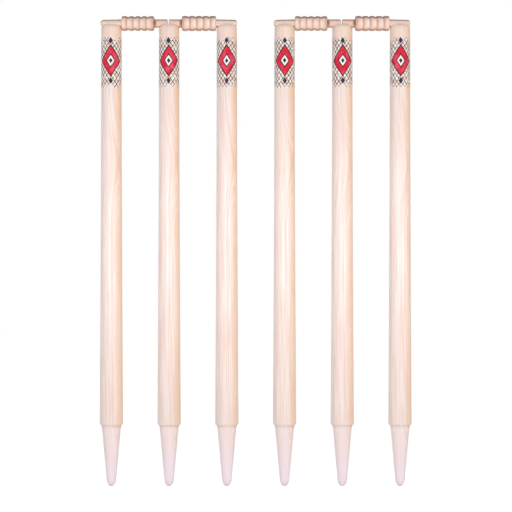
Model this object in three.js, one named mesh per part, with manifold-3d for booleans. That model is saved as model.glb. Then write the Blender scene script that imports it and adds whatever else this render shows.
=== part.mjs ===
// Cricket stumps: two wickets side by side, each of three stumps and two bails.
// Millimetres, +Z up, +X to the right as the bowler sees it. The origin lies on the ground line,
// midway between the wickets: the shoulders of the stumps rest at z = 0 and the spikes are below.
// Each stump and each bail is one turned piece of wood. A printed film is wrapped round each
// stump near its top.
import * as THREE from 'three';
import { mergeVertices } from 'three/addons/utils/BufferGeometryUtils.js';
import Module from 'manifold-3d';

const wasm = await Module();
wasm.setup();

// Layout
const wicketCount = 2;
const stumpPitch = 101; // between neighbouring stumps of one wicket, axis to axis
const wicketGap = 101; // between the nearest stumps of the two wickets, axis to axis

// Stump
const barrelHeight = 692; // from the shoulder to the foot of the dome
const topRadius = 17.75; // at the foot of the dome
const footRadius = 20.4; // at the shoulder
const domeHeight = 7.6;
const shoulderWidth = 1.8; // flat ring that rests on the ground
const filletWidth = 2.5; // hollow between the shoulder ring and the spike
const filletDepth = 9;
const spikeLength = 108; // from the shoulder to the tip
const noseRadius = 8.5;
const noseLength = 13.5;

// Printed film
const filmBelowDome = 16; // from the foot of the dome down to the film's top edge
const filmHeight = 89;
const filmGap = 0.1;
const filmThickness = 0.1;

// Bails
const spigotRadius = 7.2;
const shortSpigotRounding = 1.2;
const longSpigotTipRadius = 6.4; // where the taper of a long spigot ends and its rounded tip starts
const spigotRootRadius = 7.5; // where a spigot meets the barrel
const innerRootLength = 3; // of the thicker root next to the middle stump
const outerRootLength = 0.6;
const barrelEndRadius = 10; // flat end of the beaded barrel
const innerEndRounding = 3.8; // along the bail, from the flat end next to the middle stump
const outerEndRounding = 2.5;
const leftCrestRadius = 12.9;
const leftValleyRadius = 11.1;
const leftInnerGap = 8.45; // from the side of the middle stump to the beaded barrel
const leftOuterGap = 0.3; // from the beaded barrel to the side of the outer stump
const leftTipRounding = 6; // of the long spigot
const leftOverhang = 1.5; // of the long spigot past the side of the outer stump
const rightCrestRadius = 13.2;
const rightValleyRadius = 11.4;
const rightInnerGap = 4.65;
const rightOuterGap = 1.15;
const rightTipRounding = 3;
const rightOverhang = 0;
const bailEndGap = 1.6; // between the two bails on the middle stump
const bailMeetingPlace = -1.6; // middle of that gap, from the axis of the middle stump
const beadCount = 5;

// Groove across the top of each stump, in which the spigots lie
const grooveDepth = 5.8; // below the top of the dome
const grooveClearance = 0.3; // round a spigot

// Curves: how full each rounded stretch is, and how many steps it takes
const barrelTaperPower = 1.7;
const domeSidePower = 2.6;
const domeTopPower = 2.2;
const leftBeadPower = 2;
const rightBeadPower = 3;
const filletPower = 1.5;
const stumpSides = 28;
const bailSides = 20;
const barrelHeightShares = [0.06, 0.2, 0.4, 0.62]; // heights of the rings in the lower barrel
const domeRadiusShares = [0.985, 0.93, 0.82, 0.64, 0.36]; // radii of the rings in the dome
const beadLengthShares = [0, 0.16, 0.5, 0.84]; // places of the rings in one bead
const barrelEndSteps = 4;
const endRoundingShare = 0.95; // of half a bead, the most that an end's rounding takes
const noseSteps = 5;
const filletSteps = 4;
const roundingSteps = 3;

// Derived sizes
const domeTop = barrelHeight + domeHeight;
const filmTop = barrelHeight - filmBelowDome;
const filmBottom = filmTop - filmHeight;
const spikeRootRadius = footRadius - shoulderWidth - filletWidth;
const grooveRadius = spigotRadius + grooveClearance;
const bailAxisHeight = domeTop - grooveDepth + grooveRadius;
const middleStumpX = wicketGap / 2 + stumpPitch;

// Finishes
const stumpFinish = { color: 0xf3dfd0, roughness: 0.42, metalness: 0 };
const bailFinish = { color: 0xe8cbb4, roughness: 0.5, metalness: 0 };
const filmFinish = { color: 0xdcb3a8, roughness: 0.35, metalness: 0 };

// A closed mesh with its shared vertices merged, as a solid that can be cut.
function solidFrom(geometry) {
  const bare = geometry.clone();
  bare.deleteAttribute('normal');
  bare.deleteAttribute('uv');
  const merged = mergeVertices(bare);
  const corners = merged.index.array;
  const triangles = [];
  for (let first = 0; first < corners.length; first += 3) {
    const [a, b, c] = corners.slice(first, first + 3);
    const hasArea = a !== b && b !== c && c !== a;
    if (hasArea) {
      triangles.push(a, b, c);
    }
  }
  const mesh = new wasm.Mesh({
    numProp: 3,
    vertProperties: new Float32Array(merged.attributes.position.array),
    triVerts: new Uint32Array(triangles),
  });
  return new wasm.Manifold(mesh);
}

function geometryFrom(solid) {
  const { vertProperties, triVerts } = solid.getMesh();
  const geometry = new THREE.BufferGeometry();
  geometry.setAttribute('position', new THREE.BufferAttribute(vertProperties, 3));
  geometry.setIndex(new THREE.BufferAttribute(triVerts, 1));
  geometry.computeVertexNormals();
  return geometry;
}

// Profile points are (radius, distance along the axis), in order along the axis.
function turned(points, sides) {
  return new THREE.LatheGeometry(points, sides);
}

function point(radius, along) {
  return new THREE.Vector2(radius, along);
}

function barrelRadiusAt(height) {
  const drop = 1 - height / barrelHeight;
  return topRadius + (footRadius - topRadius) * Math.pow(drop, barrelTaperPower);
}

function domeHeightAt(radiusShare) {
  const side = 1 - Math.pow(radiusShare, domeSidePower);
  return barrelHeight + domeHeight * Math.pow(side, 1 / domeTopPower);
}

// From the tip up to the root of the spike, a rounded nose and then a straight cone.
function spikePoints() {
  const points = [];
  for (let step = 0; step <= noseSteps; step += 1) {
    const angle = (step / noseSteps) * (Math.PI / 2);
    const height = noseLength * (1 - Math.cos(angle)) - spikeLength;
    points.push(point(noseRadius * Math.sin(angle), height));
  }
  return points;
}

// The hollow that leads from the cone out to the shoulder ring.
function filletPoints() {
  const points = [];
  for (let step = 0; step <= filletSteps; step += 1) {
    const share = step / filletSteps;
    const radius = spikeRootRadius + filletWidth * Math.pow(share, filletPower);
    points.push(point(radius, filletDepth * (share - 1)));
  }
  return points;
}

function barrelPoints() {
  const heights = [
    0,
    ...barrelHeightShares.map((share) => share * barrelHeight),
    filmBottom,
    filmTop,
    barrelHeight,
  ];
  return heights.map((height) => point(barrelRadiusAt(height), height));
}

function domePoints() {
  const rings = domeRadiusShares.map((share) => point(share * topRadius, domeHeightAt(share)));
  return [...rings, point(0, domeTop)];
}

// A round rod along X at the height of the bails, which cuts the groove.
function grooveCutter() {
  const reach = 2 * topRadius;
  const ends = [
    point(0, -reach),
    point(grooveRadius, -reach),
    point(grooveRadius, reach),
    point(0, reach),
  ];
  const rod = turned(ends, bailSides);
  rod.rotateZ(-Math.PI / 2);
  rod.translate(0, 0, bailAxisHeight);
  return solidFrom(rod);
}

function stumpGeometry() {
  const profile = [...spikePoints(), ...filletPoints(), ...barrelPoints(), ...domePoints()];
  const blank = turned(profile, stumpSides);
  blank.rotateX(Math.PI / 2);
  return geometryFrom(solidFrom(blank).subtract(grooveCutter()));
}

// A thin sleeve that follows the barrel between two of its rings.
function filmGeometry() {
  const inner = (height) => barrelRadiusAt(height) + filmGap;
  const outer = (height) => inner(height) + filmThickness;
  const profile = [
    point(inner(filmBottom), filmBottom),
    point(outer(filmBottom), filmBottom),
    point(outer(filmTop), filmTop),
    point(inner(filmTop), filmTop),
    point(inner(filmBottom), filmBottom),
  ];
  const sleeve = turned(profile, stumpSides);
  sleeve.rotateX(Math.PI / 2);
  return geometryFrom(solidFrom(sleeve));
}

// One spigot from its rounded end to the barrel's flat end, as (radius, distance from the end).
function spigotPoints(length, rootLength, tipRadius, rounding) {
  const points = [point(0, 0)];
  for (let step = 1; step <= roundingSteps; step += 1) {
    const angle = (step / roundingSteps) * (Math.PI / 2);
    points.push(point(tipRadius * Math.sin(angle), rounding * (1 - Math.cos(angle))));
  }
  points.push(point(spigotRadius, length - rootLength));
  points.push(point(spigotRootRadius, length));
  return points;
}

// The beads between the crest of the first and the crest of the last, from the first crest.
function beadPoints(shape) {
  const points = [];
  for (let bead = 0; bead < beadCount; bead += 1) {
    for (const share of beadLengthShares) {
      const fromFirstCrest = bead + share - 0.5;
      const isBetweenEndCrests = fromFirstCrest >= 0 && fromFirstCrest <= beadCount - 1;
      if (isBetweenEndCrests) {
        const fall = Math.pow(Math.abs(2 * share - 1), shape.beadPower);
        const radius = shape.crestRadius - (shape.crestRadius - shape.valleyRadius) * fall;
        points.push(point(radius, fromFirstCrest * shape.beadLength));
      }
    }
  }
  return points;
}

// One end of the barrel, from its flat end up to the crest of the end bead.
function barrelEndPoints(shape, fullRounding) {
  const rounding = Math.min(fullRounding, (endRoundingShare * shape.beadLength) / 2);
  const points = [];
  for (let step = 0; step <= barrelEndSteps; step += 1) {
    const angle = (step / barrelEndSteps) * (Math.PI / 2);
    const radius = barrelEndRadius + (shape.crestRadius - barrelEndRadius) * Math.sin(angle);
    points.push(point(radius, rounding * (1 - Math.cos(angle))));
  }
  return points;
}

// The whole bail from its inner end, at zero, to its outer end.
function bailPoints(shape) {
  const length = shape.outerEnd - shape.innerEnd;
  const barrelStart = topRadius + shape.innerGap - shape.innerEnd;
  const barrelEnd = barrelStart + shape.barrelLength;
  const firstCrest = barrelStart + shape.beadLength / 2;
  const fromStart = (points, start) => points.map((p) => point(p.x, start + p.y));
  const fromEnd = (points, end) => points.map((p) => point(p.x, end - p.y)).reverse();
  const innerSpigot = spigotPoints(
    barrelStart,
    innerRootLength,
    spigotRadius,
    shortSpigotRounding,
  );
  const outerSpigot = spigotPoints(
    length - barrelEnd,
    outerRootLength,
    longSpigotTipRadius,
    shape.tipRounding,
  );
  return [
    ...innerSpigot,
    ...fromStart(barrelEndPoints(shape, innerEndRounding), barrelStart),
    ...fromStart(beadPoints(shape), firstCrest),
    ...fromEnd(barrelEndPoints(shape, outerEndRounding), barrelEnd),
    ...fromEnd(outerSpigot, length),
  ];
}

// The bail's ends are places from the axis of the middle stump towards the outer one.
function bailShape(sizes, innerEnd) {
  const outerEnd = stumpPitch + topRadius + sizes.overhang;
  const barrelLength = stumpPitch - 2 * topRadius - sizes.innerGap - sizes.outerGap;
  return { ...sizes, innerEnd, outerEnd, barrelLength, beadLength: barrelLength / beadCount };
}

// direction is 1 where the long spigot points to +X and -1 where it points to -X.
function bailGeometry(shape, direction) {
  const bail = turned(bailPoints(shape), bailSides);
  bail.rotateZ((-direction * Math.PI) / 2);
  return geometryFrom(solidFrom(bail));
}

function placed(name, geometry, finish, x, z) {
  const mesh = new THREE.Mesh(geometry, new THREE.MeshStandardMaterial(finish));
  mesh.name = name;
  mesh.position.set(x, 0, z);
  return mesh;
}

const stump = stumpGeometry();
const film = filmGeometry();
const leftBailSizes = {
  crestRadius: leftCrestRadius,
  valleyRadius: leftValleyRadius,
  beadPower: leftBeadPower,
  innerGap: leftInnerGap,
  outerGap: leftOuterGap,
  tipRounding: leftTipRounding,
  overhang: leftOverhang,
};
const rightBailSizes = {
  crestRadius: rightCrestRadius,
  valleyRadius: rightValleyRadius,
  beadPower: rightBeadPower,
  innerGap: rightInnerGap,
  outerGap: rightOuterGap,
  tipRounding: rightTipRounding,
  overhang: rightOverhang,
};
const bails = [
  {
    side: 'left',
    direction: -1,
    shape: bailShape(leftBailSizes, bailEndGap / 2 - bailMeetingPlace),
  },
  {
    side: 'right',
    direction: 1,
    shape: bailShape(rightBailSizes, bailEndGap / 2 + bailMeetingPlace),
  },
];
const stumpPlaces = [
  { side: 'left', x: -stumpPitch },
  { side: 'middle', x: 0 },
  { side: 'right', x: stumpPitch },
];

function wicket(number) {
  const group = new THREE.Group();
  const prefix = `wicket_${number}`;
  for (const { side, x } of stumpPlaces) {
    group.add(placed(`${prefix}_${side}_stump`, stump, stumpFinish, x, 0));
    group.add(placed(`${prefix}_${side}_film`, film, filmFinish, x, 0));
  }
  for (const { side, direction, shape } of bails) {
    const geometry = bailGeometry(shape, direction);
    const x = direction * shape.innerEnd;
    group.add(placed(`${prefix}_${side}_bail`, geometry, bailFinish, x, bailAxisHeight));
  }
  return group;
}

const stumps = new THREE.Group();
for (let number = 1; number <= wicketCount; number += 1) {
  const one = wicket(number);
  const placesFromMiddle = number - (wicketCount + 1) / 2;
  one.position.x = placesFromMiddle * 2 * middleStumpX;
  stumps.add(one);
}

export default stumps;
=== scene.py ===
"""Cricket stumps: two wickets, each of three turned stumps and two turned bails.

Metres, +Z up, in the frame's own axes. Each stump and each bail is a finely turned mesh that stands
for its solid, and each printed film is a thin sleeve just off the wood. Every pattern is procedural.
"""

import math
from typing import NamedTuple

import bpy
import numpy as np
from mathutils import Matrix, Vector


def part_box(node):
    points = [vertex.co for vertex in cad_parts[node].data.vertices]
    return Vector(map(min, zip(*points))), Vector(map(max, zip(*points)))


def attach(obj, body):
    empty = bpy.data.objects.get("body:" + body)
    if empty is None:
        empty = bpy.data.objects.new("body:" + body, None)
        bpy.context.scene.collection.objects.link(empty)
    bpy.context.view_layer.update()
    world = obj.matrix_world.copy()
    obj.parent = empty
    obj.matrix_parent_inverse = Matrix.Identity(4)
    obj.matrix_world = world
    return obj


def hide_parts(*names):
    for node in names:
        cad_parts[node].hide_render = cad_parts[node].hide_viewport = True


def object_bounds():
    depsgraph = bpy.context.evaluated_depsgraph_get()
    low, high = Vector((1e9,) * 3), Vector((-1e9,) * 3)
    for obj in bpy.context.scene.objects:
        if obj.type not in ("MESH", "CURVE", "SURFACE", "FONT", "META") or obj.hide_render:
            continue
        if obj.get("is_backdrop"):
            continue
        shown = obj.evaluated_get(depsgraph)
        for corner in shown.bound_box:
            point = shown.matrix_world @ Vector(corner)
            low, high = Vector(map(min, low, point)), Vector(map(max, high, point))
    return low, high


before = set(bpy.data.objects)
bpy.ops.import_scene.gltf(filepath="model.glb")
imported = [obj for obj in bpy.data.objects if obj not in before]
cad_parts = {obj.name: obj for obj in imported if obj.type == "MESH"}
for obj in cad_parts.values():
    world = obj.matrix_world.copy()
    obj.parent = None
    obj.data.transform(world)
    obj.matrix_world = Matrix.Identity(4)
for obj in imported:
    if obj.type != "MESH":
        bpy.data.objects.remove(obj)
cad_low, cad_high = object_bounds()

MM = 0.001
FRONT = -math.pi / 2  # the side of a stump that faces the bowler, as an angle about +Z
WICKETS = ("wicket_1", "wicket_2")
STUMP_PLACES = ("left", "middle", "right")

# Stump. Heights are above the shoulder, which rests on the ground line at zero.
BARREL_HEIGHT = 692 * MM
TOP_RADIUS = 17.75 * MM
FOOT_RADIUS = 20.4 * MM
BARREL_TAPER_POWER = 1.7
DOME_HEIGHT = 7.6 * MM
DOME_SIDE_POWER = 2.6
DOME_TOP_POWER = 2.2
SHOULDER_WIDTH = 1.8 * MM
SHOULDER_ROUNDING = 0.4 * MM
FILLET_WIDTH = 2.5 * MM
FILLET_DEPTH = 9 * MM
FILLET_POWER = 1.5
SPIKE_LENGTH = 108 * MM
NOSE_RADIUS = 8.5 * MM
NOSE_LENGTH = 13.5 * MM
VARNISH_END = -4.5 * MM

# Bails. Outward is the way from the middle stump along X.
SPIGOT_RADIUS = 7.2 * MM
SHORT_SPIGOT_ROUNDING = 1.2 * MM
LONG_SPIGOT_TIP_RADIUS = 6.4 * MM
SPIGOT_ROOT_RADIUS = 7.5 * MM
INNER_ROOT_LENGTH = 3 * MM
OUTER_ROOT_LENGTH = 0.6 * MM
BARREL_END_RADIUS = 10 * MM
INNER_END_ROUNDING = 3.8 * MM
OUTER_END_ROUNDING = 2.5 * MM
BEAD_COUNT = 5
BAIL_KINDS = {
    "left": {
        "outward": -1,
        "short_spigot": 23.8 * MM,
        "long_spigot": 37.3 * MM,
        "tip_rounding": 6 * MM,
        "crest": 12.9 * MM,
        "valley": 11.1 * MM,
        "bead_power": 2,
    },
    "right": {
        "outward": 1,
        "short_spigot": 23.2 * MM,
        "long_spigot": 36.65 * MM,
        "tip_rounding": 3 * MM,
        "crest": 13.2 * MM,
        "valley": 11.4 * MM,
        "bead_power": 3,
    },
}

# Groove for the bails across the dome
GROOVE_DEPTH = 5.8 * MM
GROOVE_CLEARANCE = 0.3 * MM  # round a spigot
GROOVE_RADIUS = SPIGOT_RADIUS + GROOVE_CLEARANCE
LIP_ROUNDING = 0.9 * MM
LIP_DROP_SHARE = 0.25  # of the rounding, by which a lip is worn down

# Printed film
FILM_TOP = 676 * MM
FILM_HEIGHT = 89 * MM
FILM_GAP = 0.04 * MM
FILM_THICKNESS = 0.08 * MM

# Diamonds on the film, counted in cells round the stump and up it
CELLS_ROUND = 16
CELL_HEIGHT = 10.3 * MM
HALF_CELL = 0.5
MOTIF_COUNT = 2
MOTIF_HEIGHT = 635 * MM  # of the middle of each motif
MOTIF_REACH_CELLS = 2.8
SMALL_REACH_CELLS = 0.6

# Fineness of the turned meshes
STUMP_SIDES = 192
BAIL_SIDES = 128
DOME_STEPS = 84
BARREL_STEPS = 90
FILM_STEPS = 40
SPIKE_STEPS = 24
FILLET_STEPS = 12
NOSE_STEPS = 18
SEAT_STEPS = 12
BEAD_STEPS = 24
BARREL_END_STEPS = 12
TIP_STEPS = 12
ROUNDING_STEPS = 6
SHARP_ANGLE = math.radians(50)

# Camera, light and floor
CAMERA_PLACE = (0.5 * MM, -3.36, 294.5 * MM)
CAMERA_LENS_MM = 135
CAMERA_SENSOR_MM = 36
LAMP_HEIGHT = 0.34  # of the middle of each lamp
PANEL_DISTANCE = 3.0
PANEL_HEIGHT = 0.34  # of the panel itself, from its lower to its upper edge
STRIP_DISTANCE = 0.5
STRIP_WIDTH = 3.0
STRIP_HEIGHT = 0.3
STRIP_RADIANCE = 1.31
SKY_LIGHT = 0.28
HORIZON_LIGHT = 0.1
HORIZON_NARROWNESS = 3
SIDE_LIGHT = 0.09  # more from the right than from straight ahead, and less from the left
BACK_LIGHT = 1.1
TOP_LIGHT = 0.6
LIGHT_NARROWNESS = 6  # of the light from behind and from above
FLOOR_SIZE = 14.0
FLOOR_GAP = 0.2 * MM
FLOOR_GLOW = 0.66


def paint(red, green, blue):
    """A colour written as 0 to 255 on a screen, as the linear values that shaders take."""
    linear = []
    for value in (red, green, blue):
        share = value / 255
        low = share / 12.92
        high = ((share + 0.055) / 1.055) ** 2.4
        linear.append(low if share <= 0.04045 else high)
    return (*linear, 1.0)


# Meshes


def steps(count, start=0.0, end=1.0):
    return np.linspace(start, end, count + 1)


def close_at_ends(count, start, end):
    """Values from start to end that lie closer together near both."""
    return start + (end - start) * (1 - np.cos(steps(count, end=math.pi))) / 2


def mesh_object(name, vertices, faces):
    mesh = bpy.data.meshes.new(name)
    mesh.from_pydata(vertices.tolist(), [], faces)
    mesh.shade_smooth()
    mesh.set_sharp_from_angle(angle=SHARP_ANGLE)
    piece = bpy.data.objects.new(name, mesh)
    bpy.context.scene.collection.objects.link(piece)
    return piece


def ring_vertices(profile, sides):
    """A ring of vertices about Z for each (radius, height) pair."""
    angles = np.arange(sides) * 2 * math.pi / sides
    radii = profile[:, :1]
    heights = profile[:, 1:]
    rings = [radii * np.cos(angles), radii * np.sin(angles), heights + 0 * angles]
    return np.stack(rings, axis=-1).reshape(-1, 3)


def wall_faces(ring_count, sides, first=0, closed=False):
    """Four-cornered faces between neighbouring rings, facing out when the rings go up."""
    faces = []
    for ring in range(ring_count if closed else ring_count - 1):
        low = first + ring * sides
        high = first + (ring + 1) % ring_count * sides
        for side in range(sides):
            after = (side + 1) % sides
            faces.append((low + side, low + after, high + after, high + side))
    return faces


def turned(name, profile, sides):
    """A solid of revolution about Z. The profile runs up from one point on the axis to another."""
    profile = np.array(profile)
    rings = profile[1:-1]
    bottom = [[0, 0, profile[0][1]]]
    top = [[0, 0, profile[-1][1]]]
    vertices = np.concatenate([bottom, ring_vertices(rings, sides), top])
    last = 1 + (len(rings) - 1) * sides
    apex = len(vertices) - 1
    faces = wall_faces(len(rings), sides, first=1)
    for side in range(sides):
        after = (side + 1) % sides
        faces.append((0, 1 + after, 1 + side))
        faces.append((last + side, last + after, apex))
    return mesh_object(name, vertices, faces)


def take_place(piece, node, body):
    """Lets a piece ride on a body and stand for a solid."""
    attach(piece, body)
    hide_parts(node)


# Stumps and films


def barrel_radius(height):
    drop = 1 - height / BARREL_HEIGHT
    return TOP_RADIUS + (FOOT_RADIUS - TOP_RADIUS) * drop**BARREL_TAPER_POWER


def spike_profile():
    """The rounded nose, the cone and the hollow under the shoulder."""
    points = []
    for angle in steps(NOSE_STEPS, end=math.pi / 2):
        height = NOSE_LENGTH * (1 - math.cos(angle)) - SPIKE_LENGTH
        points.append((NOSE_RADIUS * math.sin(angle), height))
    root = FOOT_RADIUS - SHOULDER_WIDTH - FILLET_WIDTH
    cone_start = NOSE_LENGTH - SPIKE_LENGTH
    for share in steps(SPIKE_STEPS)[1:-1]:
        radius = NOSE_RADIUS + (root - NOSE_RADIUS) * share
        points.append((radius, cone_start - (FILLET_DEPTH + cone_start) * share))
    for share in steps(FILLET_STEPS):
        points.append((root + FILLET_WIDTH * share**FILLET_POWER, FILLET_DEPTH * (share - 1)))
    return points


def shoulder_profile():
    """The worn edge between the flat shoulder and the barrel."""
    points = []
    for angle in steps(ROUNDING_STEPS, end=math.pi / 2):
        radius = FOOT_RADIUS - SHOULDER_ROUNDING * (1 - math.sin(angle))
        points.append((radius, SHOULDER_ROUNDING * (1 - math.cos(angle))))
    return points


def dome_profile():
    """A rounded top, as an oval of powers from the barrel's end up to the axis."""
    points = []
    for angle in steps(DOME_STEPS, end=math.pi / 2)[1:-1]:
        radius = TOP_RADIUS * math.cos(angle) ** (2 / DOME_SIDE_POWER)
        height = DOME_HEIGHT * math.sin(angle) ** (2 / DOME_TOP_POWER)
        points.append((radius, BARREL_HEIGHT + height))
    points.append((0, BARREL_HEIGHT + DOME_HEIGHT))
    return points


def stump_profile():
    """The whole stump from the tip of its spike to the top of its dome."""
    heights = close_at_ends(BARREL_STEPS, SHOULDER_ROUNDING, BARREL_HEIGHT)[1:]
    barrel = [(barrel_radius(height), height) for height in heights]
    return spike_profile() + shoulder_profile() + barrel + dome_profile()


def cut_groove(piece):
    """Lowers the dome to a round groove along X, with its lips worn round."""
    axis_height = BARREL_HEIGHT + DOME_HEIGHT - GROOVE_DEPTH + GROOVE_RADIUS
    for vertex in piece.data.vertices:
        across = abs(vertex.co.y)
        if vertex.co.z > BARREL_HEIGHT and across < GROOVE_RADIUS:
            floor = axis_height - math.sqrt(GROOVE_RADIUS**2 - across**2)
            near = max(LIP_ROUNDING - abs(vertex.co.z - floor), 0) / LIP_ROUNDING
            vertex.co.z = min(vertex.co.z, floor) - near**2 * LIP_ROUNDING * LIP_DROP_SHARE


def middle_of(node):
    low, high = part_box(node)
    return (low + high) / 2


def make_stump(node, body, finish, bare):
    """A stump with its finish down to just below the shoulder, and bare wood under that."""
    piece = turned(node + "_turned", stump_profile(), STUMP_SIDES)
    cut_groove(piece)
    piece.data.materials.append(finish)
    piece.data.materials.append(bare)
    for face in piece.data.polygons:
        face.material_index = int(face.center.z < VARNISH_END)
    piece.location.x = middle_of(node).x
    take_place(piece, node, body)


def make_film(node, body, material):
    """A sleeve that follows the barrel and closes on itself."""
    heights = steps(FILM_STEPS, FILM_TOP - FILM_HEIGHT, FILM_TOP)
    inner = [(barrel_radius(height) + FILM_GAP, height) for height in reversed(heights)]
    outer = [(barrel_radius(height) + FILM_GAP + FILM_THICKNESS, height) for height in heights]
    profile = np.array(outer + inner)
    vertices = ring_vertices(profile, STUMP_SIDES)
    faces = wall_faces(len(profile), STUMP_SIDES, closed=True)
    piece = mesh_object(node + "_printed", vertices, faces)
    piece.data.materials.append(material)
    piece.location.x = middle_of(node).x
    take_place(piece, node, body)


# Bails


def spigot_profile(length, root_length, tip_radius, rounding):
    """A spigot from its rounded end, at zero, to the barrel's flat end."""
    points = []
    for angle in steps(TIP_STEPS, end=math.pi / 2):
        points.append((tip_radius * math.sin(angle), rounding * (1 - math.cos(angle))))
    root_start = length - root_length
    for share in close_at_ends(SEAT_STEPS, 0, 1)[1:]:
        radius = tip_radius + (SPIGOT_RADIUS - tip_radius) * share
        points.append((radius, rounding + (root_start - rounding) * share))
    for share in steps(ROUNDING_STEPS)[1:]:
        radius = SPIGOT_RADIUS + (SPIGOT_ROOT_RADIUS - SPIGOT_RADIUS) * share**2
        points.append((radius, root_start + root_length * share))
    return points


def barrel_end_profile(crest, rounding):
    """One end of the barrel, from its flat end up to the crest."""
    points = []
    for angle in steps(BARREL_END_STEPS, end=math.pi / 2):
        radius = BARREL_END_RADIUS + (crest - BARREL_END_RADIUS) * math.sin(angle)
        points.append((radius, rounding * (1 - math.cos(angle))))
    return points


def beads_profile(kind, bead_length):
    """The beads from the crest of the first, at zero, to the crest of the last."""
    points = []
    for bead in steps(BEAD_STEPS * (BEAD_COUNT - 1), end=BEAD_COUNT - 1):
        from_valley = bead % 1 - 0.5
        fall = (1 - 2 * abs(from_valley)) ** kind["bead_power"]
        radius = kind["crest"] - (kind["crest"] - kind["valley"]) * fall
        points.append((radius, bead * bead_length))
    return points


def bead_length_of(kind, length):
    """The length of each bead of a bail of the given length."""
    return (length - kind["short_spigot"] - kind["long_spigot"]) / BEAD_COUNT


def bail_profile(kind, length):
    """The whole bail from its inner end, at zero, to its outer end."""
    bead_length = bead_length_of(kind, length)
    barrel_start = kind["short_spigot"]
    barrel_end = length - kind["long_spigot"]
    first_crest = barrel_start + bead_length / 2
    inner_end = barrel_end_profile(kind["crest"], INNER_END_ROUNDING)
    outer_end = barrel_end_profile(kind["crest"], OUTER_END_ROUNDING)
    beads = beads_profile(kind, bead_length)
    long_spigot = spigot_profile(
        kind["long_spigot"], OUTER_ROOT_LENGTH, LONG_SPIGOT_TIP_RADIUS, kind["tip_rounding"]
    )
    points = spigot_profile(barrel_start, INNER_ROOT_LENGTH, SPIGOT_RADIUS, SHORT_SPIGOT_ROUNDING)
    points += [(radius, barrel_start + along) for radius, along in inner_end]
    points += [(radius, first_crest + along) for radius, along in beads]
    points += [(radius, barrel_end - along) for radius, along in reversed(outer_end)]
    points += [(radius, length - along) for radius, along in reversed(long_spigot)]
    return points


def make_bail(node, body, kind, seed):
    """A bail turned about its own Z and laid along X, its long spigot away from the middle stump."""
    low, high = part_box(node)
    length = high.x - low.x
    piece = turned(node + "_turned", bail_profile(kind, length), BAIL_SIDES)
    piece.data.materials.append(varnished_bail(node + "_varnished", kind, length, seed))
    inner_end = low.x if kind["outward"] > 0 else high.x
    piece.location = (inner_end, 0, (low.z + high.z) / 2)
    piece.rotation_euler.y = kind["outward"] * math.pi / 2
    take_place(piece, node, body)


# Nodes. A mix node's sockets for colours go by number, because their names repeat.

SHARE_SOCKET = 0
FIRST_COLOUR_SOCKET = 6
SECOND_COLOUR_SOCKET = 7
MIXED_COLOUR_SOCKET = 2


class Noise(NamedTuple):
    """A kind of noise: its lumps' lengths along X, Y and Z, and what it adds to a piece's seed."""

    lump: tuple
    own_seed: int
    detail: float = 2.0


class Field:
    """A node's output, as a number that varies over a surface and takes part in sums."""

    def __init__(self, graph, socket):
        self.graph = graph
        self.socket = socket

    def __add__(self, other):
        return self.graph.math("ADD", self, other)

    def __sub__(self, other):
        return self.graph.math("SUBTRACT", self, other)

    def __rsub__(self, other):
        return self.graph.math("SUBTRACT", other, self)

    def __mul__(self, other):
        return self.graph.math("MULTIPLY", self, other)

    def __truediv__(self, other):
        return self.graph.math("DIVIDE", self, other)

    def __neg__(self):
        return self * -1

    def __abs__(self):
        return self.graph.math("ABSOLUTE", self)

    def __round__(self):
        return self.graph.math("ROUND", self)

    def root(self):
        return self.graph.math("SQRT", self)

    def fraction(self):
        return self.graph.math("FRACT", self)

    def highest(self, other):
        return self.graph.math("MAXIMUM", self, other)

    def lowest(self, other):
        return self.graph.math("MINIMUM", self, other)

    def power(self, exponent):
        return self.graph.math("POWER", self, exponent)

    def ramp(self, start, end, low=0.0, high=1.0):
        """Goes smoothly from low to high as the field goes from start to end."""
        inputs = {"Value": self, "From Min": start, "From Max": end, "To Min": low, "To Max": high}
        return self.graph.node("ShaderNodeMapRange", inputs, "Result", interpolation_type="SMOOTHSTEP")


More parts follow.
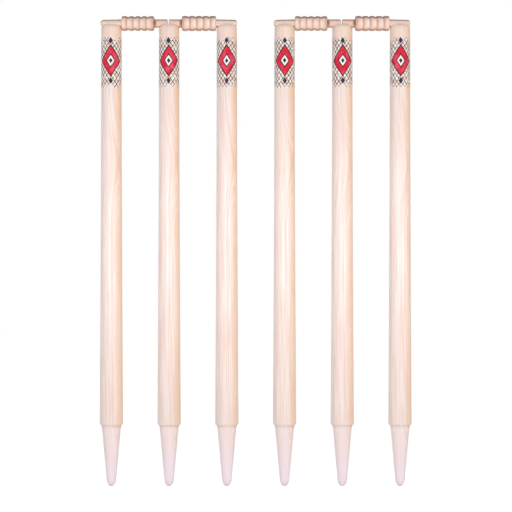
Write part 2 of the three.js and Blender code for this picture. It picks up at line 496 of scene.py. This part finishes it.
class Graph:
    """A node tree. Its methods add nodes and return their outputs as fields."""

    def __init__(self, tree):
        self.nodes = tree.nodes
        self.links = tree.links

    def node(self, kind, inputs, output, **settings):
        made = self.nodes.new(kind)
        for name, value in settings.items():
            setattr(made, name, value)
        for name, value in inputs.items():
            self.feed(made.inputs[name], value)
        return Field(self, made.outputs[output])

    def feed(self, socket, value):
        if isinstance(value, Field):
            self.links.new(value.socket, socket)
        else:
            socket.default_value = value

    def math(self, operation, first, second=0.0):
        return self.node("ShaderNodeMath", {0: first, 1: second}, 0, operation=operation)

    def place(self):
        """The place on the piece, from its own axis."""
        return self.node("ShaderNodeTexCoord", {}, "Object")

    def direction(self):
        """The direction of the light, in a world's graph."""
        return self.node("ShaderNodeTexCoord", {}, "Generated")

    def parts(self, vector):
        """The X, Y and Z of a vector."""
        split = self.node("ShaderNodeSeparateXYZ", {0: vector}, "X").socket.node
        return [Field(self, output) for output in split.outputs]

    def vector(self, x, y, z):
        return self.node("ShaderNodeCombineXYZ", {"X": x, "Y": y, "Z": z}, 0)

    def noise(self, vector, noise, seed):
        """Smooth noise of the given kind, from 0 to 1."""
        scale = tuple(1 / length for length in noise.lump)
        scaled = self.node("ShaderNodeVectorMath", {0: vector, 1: scale}, 0, operation="MULTIPLY")
        inputs = {
            "Vector": scaled,
            "W": seed + noise.own_seed,
            "Scale": 1.0,
            "Detail": noise.detail,
        }
        return self.node("ShaderNodeTexNoise", inputs, "Fac", noise_dimensions="4D")

    def mix(self, share, first, second):
        """The first colour where share is 0 and the second where it is 1."""
        inputs = {SHARE_SOCKET: share, FIRST_COLOUR_SOCKET: first, SECOND_COLOUR_SOCKET: second}
        return self.node("ShaderNodeMix", inputs, MIXED_COLOUR_SOCKET, data_type="RGBA")

    def bump(self, height, distance, strength):
        inputs = {"Height": height, "Distance": distance, "Strength": strength}
        return self.node("ShaderNodeBump", inputs, "Normal")

    def seen_directly(self):
        """1 for what the camera sees, straight or in a reflection, and 0 for light on surfaces."""
        camera = self.node("ShaderNodeLightPath", {}, "Is Camera Ray")
        path = camera.socket.node
        glossy = Field(self, path.outputs["Is Glossy Ray"])
        transmitted = Field(self, path.outputs["Is Transmission Ray"])
        return camera.highest(glossy).highest(transmitted)


def new_material(name):
    """A material with its graph and its shader's inputs."""
    material = bpy.data.materials.new(name)
    material.use_nodes = True
    shader = material.node_tree.nodes["Principled BSDF"]
    return material, Graph(material.node_tree), shader.inputs


def set_values(inputs, values):
    """Sets the inputs that are the same all over a surface."""
    for name, value in values.items():
        inputs[name].default_value = value


# Wood. Levels are values of a noise, and a pair says where a change starts and where it ends.

NOISE_MEAN = 0.5
MOST_LEVELS = (0.3, 0.7)  # between which nearly all of a noise lies
ANY_LENGTH = 1.0  # of lumps along an axis on which the place is always zero
STUMP_WOOD = {
    "pith_side": FRONT + math.radians(48),
    "pith_distance": 51.25 * MM,
    "ring_spacing": 2.5 * MM,
    "first_ring": 42.5 * MM,
    "bend_height": 460 * MM,
    "bend_length": 125 * MM,
    "bend": 8.8 * MM,
    "lean": 0.012,
    "heart_side": FRONT + math.radians(75),
    "heart_start": 9 * MM,
    "heart_end": 18 * MM,
    "heart_rise": (450 * MM, 600 * MM),
    "heart_shares": (0.6, 1.0),
    "cream": paint(252, 243, 239),
    "pink": paint(243, 219, 212),
    "late": paint(238, 194, 162),
    "heart": paint(251, 214, 180),
    "pore": paint(214, 176, 156),
}
BAIL_WOOD = {
    "pith_side": FRONT + math.radians(70),
    "pith_distance": 34 * MM,
    "ring_spacing": 2.2 * MM,
    "first_ring": 22 * MM,
    "bend_height": 60 * MM,
    "bend_length": 50 * MM,
    "bend": 1 * MM,
    "lean": 0.03,
    "heart_side": FRONT + math.radians(70),
    "heart_start": 4 * MM,
    "heart_end": 14 * MM,
    "heart_rise": (20 * MM, 100 * MM),
    "heart_shares": (0.3, 0.5),
    "cream": paint(252, 236, 230),
    "pink": paint(246, 222, 213),
    "late": paint(226, 180, 152),
    "heart": paint(244, 214, 192),
    "pore": paint(196, 150, 124),
}
LAYOUT_SEED = 3
LAYOUT_CHANGE = 0.12  # how much the rings differ from one piece to the next
WANDER = Noise((7 * MM, 7 * MM, 80 * MM), 0)
WANDER_REACH = 0.5 * MM
RIPPLE = Noise((1.6 * MM, 1.6 * MM, 22 * MM), 1)
RIPPLE_REACH = 0.25 * MM
STREAKS = Noise((2.3 * MM, ANY_LENGTH, 120 * MM), 3)
STREAK_LEVELS = (0.4, 0.6)
STREAK_MIX_SHARE = 0.65
FINE_STREAKS = Noise((0.9 * MM, ANY_LENGTH, 60 * MM), 16)
FINE_STREAK_LEVELS = (0.35, 0.65)
FINE_STREAK_MIX_SHARE = 0.35
FIBRES = Noise((0.45 * MM, ANY_LENGTH, 35 * MM), 4, detail=3.0)
FIBRE_LEVELS = (0.5, 0.75)
FIBRE_MIX_SHARE = 0.3
PORES = Noise((0.22 * MM, 0.22 * MM, 3.5 * MM), 5, detail=1.0)
PORE_LEVELS = (0.66, 0.76)
PORE_MIX_SHARE = 0.3
TOOL_MARKS = Noise((ANY_LENGTH, ANY_LENGTH, 0.7 * MM), 6)

# Late wood. Shares of a year are counted outwards through its growth.

LATE_START_SHARES = (0.55, 0.95)
LATE_END_SHARES = (1.0, 0.97)
SHADED_SHARES = (0.2, 0.9)
SHADED_STRENGTH_SHARE = 0.15  # of the line's own strength
STRONGEST_YEAR = -1  # counted outwards from the first ring
YEARS_APART = (0.4, 0.6)  # years are whole, so this tells the strongest from all the others
OTHER_YEARS_SHARE = 0.3  # of the strongest line's strength
PATCHES = Noise((12 * MM, 12 * MM, 150 * MM), 2)
PATCH_SHARES = (0.6, 1.0)  # of the line's strength
LATE_MIX_SHARE = 0.75


def distance_from_pith(graph, place, wood, seed):
    """How far a place is from the tree's middle, which leans and bends along the piece."""
    layout = LAYOUT_SEED + LAYOUT_CHANGE * seed
    x, y, z = graph.parts(place)
    rise = z - wood["bend_height"]
    bend = abs(rise).ramp(wood["bend_length"], 0.0) * wood["bend"]
    pith = bend - rise * wood["lean"] + wood["pith_distance"]
    across = x - pith * math.cos(wood["pith_side"])
    away = y - pith * math.sin(wood["pith_side"])
    wander = graph.noise(place, WANDER, layout) - NOISE_MEAN
    ripple = graph.noise(place, RIPPLE, layout) - NOISE_MEAN
    distance = (across * across + away * away).root()
    return distance + wander * WANDER_REACH + ripple * RIPPLE_REACH


def late_wood(graph, place, distance, wood, seed):
    """The dark line at the end of each year's growth, from 0 to 1. One year's line is the strongest."""
    rings = (distance - wood["first_ring"]) / wood["ring_spacing"]
    year = rings.fraction()
    number = rings - year
    line = year.ramp(*LATE_START_SHARES) * year.ramp(*LATE_END_SHARES)
    shaded = line + year.ramp(*SHADED_SHARES) * SHADED_STRENGTH_SHARE
    strength = abs(number - STRONGEST_YEAR).ramp(*YEARS_APART, 1.0, OTHER_YEARS_SHARE)
    patch = graph.noise(place, PATCHES, seed).ramp(*MOST_LEVELS, *PATCH_SHARES)
    return shaded * strength * patch


def pores(graph, place, seed):
    """Short open vessels along the grain, from 0 to 1."""
    return graph.noise(place, PORES, seed).ramp(*PORE_LEVELS)


def tool_marks(graph, place, seed):
    """Fine rings that the lathe leaves round the piece."""
    _, _, z = graph.parts(place)
    return graph.noise(graph.vector(0.0, 0.0, z), TOOL_MARKS, seed)


def wood_colour(graph, place, wood, seed):
    """Streaks and fibres that run along the rings, a warmer heart side, late wood and pores."""
    x, y, z = graph.parts(place)
    distance = distance_from_pith(graph, place, wood, seed)
    along_rings = graph.vector(distance, 0.0, z)
    streaks = graph.noise(along_rings, STREAKS, seed).ramp(*STREAK_LEVELS)
    fine_streaks = graph.noise(along_rings, FINE_STREAKS, seed).ramp(*FINE_STREAK_LEVELS)
    pinkness = streaks * STREAK_MIX_SHARE + fine_streaks * FINE_STREAK_MIX_SHARE
    fibres = graph.noise(along_rings, FIBRES, seed).ramp(*FIBRE_LEVELS)
    heart = x * math.cos(wood["heart_side"]) + y * math.sin(wood["heart_side"])
    warmth = heart.ramp(wood["heart_start"], wood["heart_end"])
    warmth = warmth * z.ramp(*wood["heart_rise"], *wood["heart_shares"])
    late = late_wood(graph, place, distance, wood, seed)
    colour = graph.mix(pinkness, wood["cream"], wood["pink"])
    colour = graph.mix(warmth, colour, wood["heart"])
    colour = graph.mix(fibres * FIBRE_MIX_SHARE, colour, wood["late"])
    colour = graph.mix(late * LATE_MIX_SHARE, colour, wood["late"])
    return graph.mix(pores(graph, place, seed) * PORE_MIX_SHARE, colour, wood["pore"])


# Top of each stump

# Warmer and darker towards the dome: partly the wood's tone, partly painted shade where the light falls
# off at the top
TOP_TONE_AND_SHADE_COLOUR = paint(255, 224, 205)
TOP_MIX_SHARE = 0.5
TOP_RISE = (600 * MM, 690 * MM)
# Painted light: a paler crown that lifts the shade under the bails' spigots
CROWN_LIGHT_COLOUR = paint(255, 248, 243)
CROWN_LIGHT_MIX_SHARE = 0.9
CROWN_RISE = (694 * MM, 698 * MM)


def painted_top_shade_and_light(graph, place, colour):
    """Warmer and darker towards the dome, partly the wood's tone and partly painted shade, and paler on
    the dome's crown as painted light where the bails' spigots would shade it.
    """
    _, _, z = graph.parts(place)
    colour = graph.mix(z.ramp(*TOP_RISE) * TOP_MIX_SHARE, colour, TOP_TONE_AND_SHADE_COLOUR)
    return graph.mix(z.ramp(*CROWN_RISE) * CROWN_LIGHT_MIX_SHARE, colour, CROWN_LIGHT_COLOUR)


# Mark in the wood, low on the left of each stump

MARK_COLOUR = paint(200, 165, 160)
MARK_MIX_SHARE = 0.4
MARK_HEIGHT = 111 * MM
MARK_LENGTH = 27 * MM
MARK_END_SHARES = (0.5, 0.25)  # of its length, up or down from its middle
MARK_HALF_WIDTH = 0.5 * MM
MARK_CORE_SHARE = 0.2  # of the half width, within which it is full
MARK_PLACE_SHARE = -0.7  # of the stump's radius, across from its middle
MARK_FRONT_SHARE = 0.25  # of the foot's radius, in front of which it is full


def mineral_mark(graph, place, colour):
    """A thin dark streak along the grain, on the front only."""
    x, y, z = graph.parts(place)
    from_mark = abs(x - MARK_PLACE_SHARE * barrel_radius(MARK_HEIGHT))
    beside = from_mark.ramp(MARK_HALF_WIDTH, MARK_CORE_SHARE * MARK_HALF_WIDTH)
    ends = [MARK_LENGTH * share for share in MARK_END_SHARES]
    along = abs(z - MARK_HEIGHT).ramp(*ends)
    in_front = y.ramp(0.0, -FOOT_RADIUS * MARK_FRONT_SHARE)
    return graph.mix(beside * along * in_front * MARK_MIX_SHARE, colour, MARK_COLOUR)


# Painted shade and painted highlight on the bails

SHADING_START_SHARE = 0.04  # of a bead, outwards from the valley to where its painted shading starts
# Painted shade: a dark line on each bead's inner flank, beside its valley
VALLEY_SHADE_COLOUR = paint(206, 160, 136)
VALLEY_SHADE_START_SHARES = (0.04, 0.16)  # of a bead, outwards from where its painted shading starts
VALLEY_SHADE_END_SHARES = (0.38, 0.2)
VALLEY_SHADE_MIX_SHARE = 0.72
# Warm: the spigots' own tone, and painted shade on each bead's inner flank and along the bail's upper
# and lower sides
WARM_TONE_AND_SHADE_COLOUR = paint(243, 202, 178)
FLANK_SHADE_END_SHARES = (1.0, 0.2)  # of a bead, outwards from where its painted shading starts
FLANK_SHADE_MIX_SHARE = 0.85
WARM_SPIGOT_MIX_SHARE = 0.5
# Pale tone, which on each bead's outer flank stands as a painted highlight
PALE_TONE_AND_HIGHLIGHT_COLOUR = paint(255, 245, 240)
PALE_MIX_SHARE = 0.8
BARREL_CORE_SHARE = 0.45  # of the barrel's length, each way from its middle
# Painted shade in the corner where the barrel's inner end meets the spigot
INNER_END_SHADE_COLOUR = paint(158, 108, 76)
INNER_END_FADE_IN = (-6 * MM, -1 * MM)  # outwards from the barrel's inner end
INNER_END_FADE_OUT = (1.7 * MM, 0.2 * MM)
# Painted shade, warm, on the bails' upper and lower sides
SIDE_SHADE_SHARES = (0.2, 0.7)  # of the radius, up or down from the axis
SIDE_SHADE_MIX_SHARE = 0.5
# Painted shade along the bails' upper and lower rims
RIM_SHADE_COLOUR = paint(132, 88, 68)
UPPER_RIM_SHADE_SHARES = (0.52, 0.82)  # of the radius, up from the axis
UPPER_RIM_SHADE_MIX_SHARE = 0.8
LOWER_RIM_SHADE_SHARES = (-0.65, -0.92)
LOWER_RIM_SHADE_MIX_SHARE = 0.6


def bead_painted_shading(graph, place, colour, kind, length):
    """Painted shade and highlight: each bead goes from a dark shaded line beside its valley through
    warm shade to a pale lit flank outwards, and the barrel's inner end is painted dark as shade where
    it meets the spigot.
    """
    _, _, z = graph.parts(place)
    bead_length = bead_length_of(kind, length)
    barrel_length = bead_length * BEAD_COUNT
    from_start = z - kind["short_spigot"]
    from_middle = abs(from_start - barrel_length / 2)
    on_barrel = from_middle.ramp(barrel_length / 2, barrel_length * BARREL_CORE_SHARE)
    along_bead = (from_start / bead_length - SHADING_START_SHARE).fraction()
    line = along_bead.ramp(*VALLEY_SHADE_START_SHARES) * along_bead.ramp(*VALLEY_SHADE_END_SHARES)
    warmth = along_bead.ramp(*FLANK_SHADE_END_SHARES) * on_barrel
    colour = graph.mix(from_start.ramp(0.0, bead_length) * PALE_MIX_SHARE, colour, PALE_TONE_AND_HIGHLIGHT_COLOUR)
    colour = graph.mix(warmth * FLANK_SHADE_MIX_SHARE, colour, WARM_TONE_AND_SHADE_COLOUR)
    colour = graph.mix(line * on_barrel * VALLEY_SHADE_MIX_SHARE, colour, VALLEY_SHADE_COLOUR)
    colour = graph.mix((1.0 - on_barrel) * WARM_SPIGOT_MIX_SHARE, colour, WARM_TONE_AND_SHADE_COLOUR)
    inner_end = from_start.ramp(*INNER_END_FADE_IN) * from_start.ramp(*INNER_END_FADE_OUT)
    return graph.mix(inner_end, colour, INNER_END_SHADE_COLOUR)


def painted_rim_shade(graph, place, colour, kind):
    """Painted shade along the upper and lower sides, warm and then darkest at the rims. A laid bail's
    own X points down if outward is +X.
    """
    x, y, _ = graph.parts(place)
    upwards = x / (x * x + y * y).root() * -kind["outward"]
    colour = graph.mix(abs(upwards).ramp(*SIDE_SHADE_SHARES) * SIDE_SHADE_MIX_SHARE, colour, WARM_TONE_AND_SHADE_COLOUR)
    upper = upwards.ramp(*UPPER_RIM_SHADE_SHARES) * UPPER_RIM_SHADE_MIX_SHARE
    lower = upwards.ramp(*LOWER_RIM_SHADE_SHARES) * LOWER_RIM_SHADE_MIX_SHARE
    return graph.mix(upper + lower, colour, RIM_SHADE_COLOUR)


# Varnished wood

VARNISH = {"Diffuse Roughness": 0.2, "Specular IOR Level": 0.1, "Coat Roughness": 0.15}
STUMP_COAT = 0.25
BAIL_COAT = 0.2
VARNISH_BUMP = {"distance": 0.03 * MM, "strength": 0.5}
VARNISHED_TOOL_MARK_SHARE = 0.4  # of the tool marks' height on bare wood
WEAR = Noise((15 * MM, 15 * MM, 60 * MM), 7)
VARNISH_ROUGHNESS = (0.42, 0.52)


def add_varnish(inputs, coat):
    """A satin coat of the given weight, from 0 to 1."""
    set_values(inputs, VARNISH)
    inputs["Coat Weight"].default_value = coat


def varnished(name, make_colour, coat, seed):
    """Satin varnish over a colour, which make_colour makes from the graph and the place."""
    material, graph, inputs = new_material(name)
    place = graph.place()
    graph.feed(inputs["Base Color"], make_colour(graph, place))
    relief = tool_marks(graph, place, seed) * VARNISHED_TOOL_MARK_SHARE - pores(graph, place, seed)
    graph.feed(inputs["Normal"], graph.bump(relief, **VARNISH_BUMP))
    wear = graph.noise(place, WEAR, seed)
    graph.feed(inputs["Roughness"], wear.ramp(*MOST_LEVELS, *VARNISH_ROUGHNESS))
    add_varnish(inputs, coat)
    return material


def varnished_stump(name, seed):
    def make_colour(graph, place):
        wood = wood_colour(graph, place, STUMP_WOOD, seed)
        return painted_top_shade_and_light(graph, place, mineral_mark(graph, place, wood))

    return varnished(name, make_colour, STUMP_COAT, seed)


def varnished_bail(name, kind, length, seed):
    def make_colour(graph, place):
        wood = wood_colour(graph, place, BAIL_WOOD, seed)
        return painted_rim_shade(graph, place, bead_painted_shading(graph, place, wood, kind, length), kind)

    return varnished(name, make_colour, BAIL_COAT, seed)


# Bare wood

BARE = {"Diffuse Roughness": 0.4, "Specular IOR Level": 0.1}
BARE_COLOUR = paint(255, 241, 242)
BARE_MIX_SHARE = 0.6
TIP_COLOUR = paint(254, 239, 252)
TIP_MIX_SHARE = 0.7
TIP_FALL = (-20 * MM, -95 * MM)
BARE_BUMP = {"distance": 0.06 * MM, "strength": 0.6}
FUZZ = Noise((0.3 * MM, 0.3 * MM, 4 * MM), 8, detail=3.0)
BARE_ROUGHNESS = (0.62, 0.8)


def bare_wood(name, wood, seed):
    """Wood without varnish, paler all over and cooler towards the tip of the spike."""
    material, graph, inputs = new_material(name)
    place = graph.place()
    _, _, z = graph.parts(place)
    unvarnished = graph.mix(BARE_MIX_SHARE, wood_colour(graph, place, wood, seed), BARE_COLOUR)
    colour = graph.mix(z.ramp(*TIP_FALL) * TIP_MIX_SHARE, unvarnished, TIP_COLOUR)
    graph.feed(inputs["Base Color"], colour)
    fuzz = graph.noise(place, FUZZ, seed)
    relief = fuzz + tool_marks(graph, place, seed) - pores(graph, place, seed)
    graph.feed(inputs["Normal"], graph.bump(relief, **BARE_BUMP))
    graph.feed(inputs["Roughness"], fuzz.ramp(*MOST_LEVELS, *BARE_ROUGHNESS))
    set_values(inputs, BARE)
    return material


# Print

INK_RED = paint(230, 28, 58)
INK_ROSE = paint(240, 88, 120)
INK_BLACK = paint(24, 18, 22)
INK_NIGHT = paint(50, 44, 66)
INK_BROWN = paint(72, 50, 46)
INK_WHITE = paint(253, 248, 244)
INK_CREAM = paint(250, 238, 224)
INK_BLUSH = paint(246, 218, 214)
WARP_SIDEWAYS = Noise((11 * MM, 11 * MM, 14 * MM), 14)
WARP_UPWARDS = Noise((11 * MM, 11 * MM, 14 * MM), 15)
WARP_CELLS = 0.34

# Lattice of small diamonds. Chance picks the ink of each, and presence says if it is there at all.

WHEEL_CELLS = 4  # radius of the wheel that both are read round, so that the lattice closes
CHANCES = Noise((0.61, 0.61, 0.47), 10, detail=0.0)  # with its lumps in cells
INKED_LEVELS = (0.34, 0.36)
WHITE_LEVELS = (0.46, 0.48)
BLUSH_LEVELS = (0.6, 0.62)
INK_MIX_SHARE = 0.85
PRESENCE = Noise((0.53, 0.59, 0.43), 11, detail=0.0)  # with its lumps in cells
PRESENT_LEVELS = (0.05, 0.08)
LATTICE_MIDDLE_CELLS = -0.3  # above the middle of the motifs
LATTICE_END_CELLS = (3.0, 4.6)  # up or down from the lattice's middle
LATTICE_END_LOSS = 0.75  # taken from the presence at the lattice's ends
BREAKS = Noise((3 * MM, 3 * MM, 4 * MM), 13)
BREAK_LEVELS = (0.36, 0.46)
LATTICE_LINE_CELLS = (0.13, 0.08)  # from a small diamond's edge
LATTICE_LINE_MIX_SHARE = 0.9
LATTICE_DOT_CELLS = (0.2, 0.16)  # from a small diamond's corner

# Motifs, nested from outside inwards

NESTED_SHARES = (1.0, 0.885, 0.44, 0.345, 0.17)  # of a motif's reach
NESTED_EDGE_SHARE = 0.015  # of a motif's reach, over which each edge is soft
SMALL_EDGE_CELLS = 0.06  # over which the edge of a small dark diamond is soft
INK_SHADE = Noise((9 * MM, 9 * MM, 14 * MM), 12)
INK_SHADE_LEVELS = (0.4, 0.7)

# Clear film over the print

FILM_BUMP = {"distance": 0.02 * MM, "strength": 0.4}
FILM_GRAIN = Noise((0.6 * MM, 0.6 * MM, 9 * MM), 9)
FILM_ROUGHNESS = (0.36, 0.46)


def cells(graph, place, seed):
    """The place on the print, counted in cells round from the front and up from the motifs."""
    x, y, z = graph.parts(place)
    sideways = graph.noise(place, WARP_SIDEWAYS, seed) - NOISE_MEAN
    upwards = graph.noise(place, WARP_UPWARDS, seed) - NOISE_MEAN
    round_from_front = graph.math("ARCTAN2", x, -y) * (CELLS_ROUND / (2 * math.pi))
    up_from_motifs = (z - MOTIF_HEIGHT) / CELL_HEIGHT
    return round_from_front + sideways * WARP_CELLS, up_from_motifs + upwards * WARP_CELLS


def on_wheel(graph, half_cells_round, height):
    """A diamond's middle, as one place that is the same all over the diamond."""
    angle = half_cells_round * (math.pi / CELLS_ROUND)
    across = graph.math("COSINE", angle) * WHEEL_CELLS
    away = graph.math("SINE", angle) * WHEEL_CELLS
    return graph.vector(across, away, height)


def print_lattice(graph, place, u, v, wood_below, seed):
    """Small diamonds of white, cream, blush and bare wood between fine brown lines that break off."""
    rising = u + v
    falling = u - v
    rising_row = round(rising)
    falling_row = round(falling)
    from_rising = abs(rising - rising_row)
    from_falling = abs(falling - falling_row)
    to_edge = HALF_CELL - from_rising.highest(from_falling)
    to_corner = HALF_CELL - from_rising.lowest(from_falling)
    height = (rising_row - falling_row) / 2
    middle = on_wheel(graph, rising_row + falling_row, height)
    loss = abs(height - LATTICE_MIDDLE_CELLS).ramp(*LATTICE_END_CELLS, 0.0, LATTICE_END_LOSS)
    kept = (graph.noise(middle, PRESENCE, seed) - loss).ramp(*PRESENT_LEVELS)
    chance = graph.noise(middle, CHANCES, seed)
    ink = graph.mix(chance.ramp(*WHITE_LEVELS), INK_CREAM, INK_WHITE)
    ink = graph.mix(chance.ramp(*BLUSH_LEVELS), ink, INK_BLUSH)
    filled = graph.mix(chance.ramp(*INKED_LEVELS) * kept * INK_MIX_SHARE, wood_below, ink)
    break_off = graph.noise(place, BREAKS, seed).ramp(*BREAK_LEVELS)
    lines = to_edge.ramp(*LATTICE_LINE_CELLS) * kept * break_off
    dots = to_corner.ramp(*LATTICE_DOT_CELLS) * kept * break_off
    lined = graph.mix(lines * LATTICE_LINE_MIX_SHARE, filled, INK_BROWN)
    return graph.mix(dots, lined, INK_BLACK)


def print_motifs(graph, place, u, v, colour, seed):
    """Large nested red diamonds round the stump, with small dark ones above, below and between."""
    spacing = CELLS_ROUND / MOTIF_COUNT
    from_middle = abs(u - round(u / spacing) * spacing)
    beside = abs(from_middle - spacing / 2) + abs(v)
    above = from_middle + abs(abs(v) - MOTIF_REACH_CELLS - SMALL_REACH_CELLS)
    small = beside.lowest(above).ramp(SMALL_REACH_CELLS, SMALL_REACH_CELLS - SMALL_EDGE_CELLS)
    colour = graph.mix(small, colour, INK_NIGHT)
    shade = graph.noise(place, INK_SHADE, seed)
    red = graph.mix(shade.ramp(*INK_SHADE_LEVELS), INK_RED, INK_ROSE)
    reach = (from_middle + abs(v)) / MOTIF_REACH_CELLS
    inks = (INK_BLACK, red, INK_BLACK, INK_WHITE, INK_NIGHT)
    for share, ink in zip(NESTED_SHARES, inks):
        colour = graph.mix(reach.ramp(share, share - NESTED_EDGE_SHARE), colour, ink)
    return colour


def printed_wood(name, wood, seed):
    """Wood under a clear film that carries a lattice of diamonds and large nested ones."""
    material, graph, inputs = new_material(name)
    place = graph.place()
    u, v = cells(graph, place, seed)
    colour = print_lattice(graph, place, u, v, wood_colour(graph, place, wood, seed), seed)
    graph.feed(inputs["Base Color"], print_motifs(graph, place, u, v, colour, seed))
    grain = graph.noise(place, FILM_GRAIN, seed)
    graph.feed(inputs["Normal"], graph.bump(grain, **FILM_BUMP))
    graph.feed(inputs["Roughness"], grain.ramp(*MOST_LEVELS, *FILM_ROUGHNESS))
    add_varnish(inputs, STUMP_COAT)
    return material


# Stage. A bearing is counted from the front, to the right as the camera sees it.

WHITE = paint(255, 255, 255)
PANELS = {
    "left_panel": {
        "bearing": math.radians(-16),
        "width": 0.5,
        "brightness_share": 0.2,
        "colour": WHITE,
    },
    "right_panel": {
        "bearing": math.radians(30),
        "width": 1.2,
        "brightness_share": 0.15,
        "colour": paint(255, 250, 242),
    },
}
FLOOR_PAPER = {
    "Base Color": (0.7, 0.7, 0.7, 1.0),
    "Roughness": 1.0,
    "Specular IOR Level": 0.0,
    "Emission Color": WHITE,
}


def make_camera():
    data = bpy.data.cameras.new("camera")
    data.sensor_width = CAMERA_SENSOR_MM
    data.lens = CAMERA_LENS_MM
    camera = bpy.data.objects.new("camera", data)
    camera.location = CAMERA_PLACE
    camera.rotation_euler = (math.pi / 2, 0, 0)
    bpy.context.scene.collection.objects.link(camera)
    bpy.context.scene.camera = camera


def make_world():
    """Soft light that is strongest from behind and above, and white where it is seen."""
    world = bpy.data.worlds.new("studio")
    world.use_nodes = True
    graph = Graph(world.node_tree)
    background = world.node_tree.nodes["Background"].inputs
    background["Color"].default_value = WHITE
    x, y, z = graph.parts(graph.direction())
    horizon = (1.0 - abs(z)).power(HORIZON_NARROWNESS)
    back = y.highest(0.0).power(LIGHT_NARROWNESS) * BACK_LIGHT
    top = z.highest(0.0).power(LIGHT_NARROWNESS) * TOP_LIGHT
    light = horizon * HORIZON_LIGHT + x * SIDE_LIGHT + back + top + SKY_LIGHT
    seen = graph.seen_directly()
    graph.feed(background["Strength"], (1.0 - light) * seen + light)
    bpy.context.scene.world = world


def make_floor():
    """A pale floor just under the spikes, which glows enough in view to render white."""
    half = FLOOR_SIZE / 2
    corners = np.array([[-half, -half, 0], [half, -half, 0], [half, half, 0], [-half, half, 0]])
    floor = mesh_object("floor", corners, [(0, 1, 2, 3)])
    floor.location.z = cad_low.z - FLOOR_GAP
    material, graph, inputs = new_material("floor_paper")
    set_values(inputs, FLOOR_PAPER)
    graph.feed(inputs["Emission Strength"], graph.seen_directly() * FLOOR_GLOW)
    floor.data.materials.append(material)
    floor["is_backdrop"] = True


def make_lamp(name, width, height, energy, place, rotation):
    """A soft rectangular lamp."""
    data = bpy.data.lights.new(name, "AREA")
    data.shape = "RECTANGLE"
    data.size = width
    data.size_y = height
    data.energy = energy
    lamp = bpy.data.objects.new(name, data)
    lamp.location = place
    lamp.rotation_euler = rotation
    bpy.context.scene.collection.objects.link(lamp)
    return lamp


def make_panel(name, bearing, width, brightness_share, colour):
    """A lamp that faces the row, and gives white the stated share of full brightness."""
    energy = brightness_share * (math.pi * PANEL_DISTANCE) ** 2
    angle = FRONT + bearing
    place = Vector((math.cos(angle), math.sin(angle), 0)) * PANEL_DISTANCE
    place.z = LAMP_HEIGHT
    target = Vector((0, 0, LAMP_HEIGHT))
    rotation = (target - place).to_track_quat("-Z", "Y").to_euler()
    lamp = make_lamp(name, width, PANEL_HEIGHT, energy, place, rotation)
    lamp.data.color = colour[:3]


def make_strip():
    """A long low lamp just in front of the row. The camera looks through it."""
    energy = STRIP_RADIANCE * math.pi * STRIP_WIDTH * STRIP_HEIGHT
    place = (0, -STRIP_DISTANCE, LAMP_HEIGHT)
    facing_the_row = (math.pi / 2, 0, 0)
    lamp = make_lamp("front_strip", STRIP_WIDTH, STRIP_HEIGHT, energy, place, facing_the_row)
    lamp.visible_camera = False


def make_lamps():
    for name, panel in PANELS.items():
        make_panel(name, **panel)
    make_strip()


# The set


def make_wickets():
    """Stumps, films and bails. Each outer stump is a body, and both middle ones are the root."""
    seed = 0
    for wicket in WICKETS:
        for place in STUMP_PLACES:
            seed += 1
            stump = wicket + "_" + place + "_stump"
            film = wicket + "_" + place + "_film"
            body = "middle_stumps" if place == "middle" else stump
            finish = varnished_stump(stump + "_varnished", seed)
            bare = bare_wood(stump + "_bare", STUMP_WOOD, seed)
            make_stump(stump, body, finish, bare)
            make_film(film, body, printed_wood(film + "_print", STUMP_WOOD, seed))
        for side, kind in BAIL_KINDS.items():
            seed += 1
            bail = wicket + "_" + side + "_bail"
            make_bail(bail, bail, kind, seed)


bpy.context.scene.view_settings.view_transform = "Standard"
make_camera()
make_world()
make_floor()
make_lamps()
make_wickets()

low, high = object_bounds()
sizes = {"cad": [list(cad_low), list(cad_high)], "visual": [list(low), list(high)]}
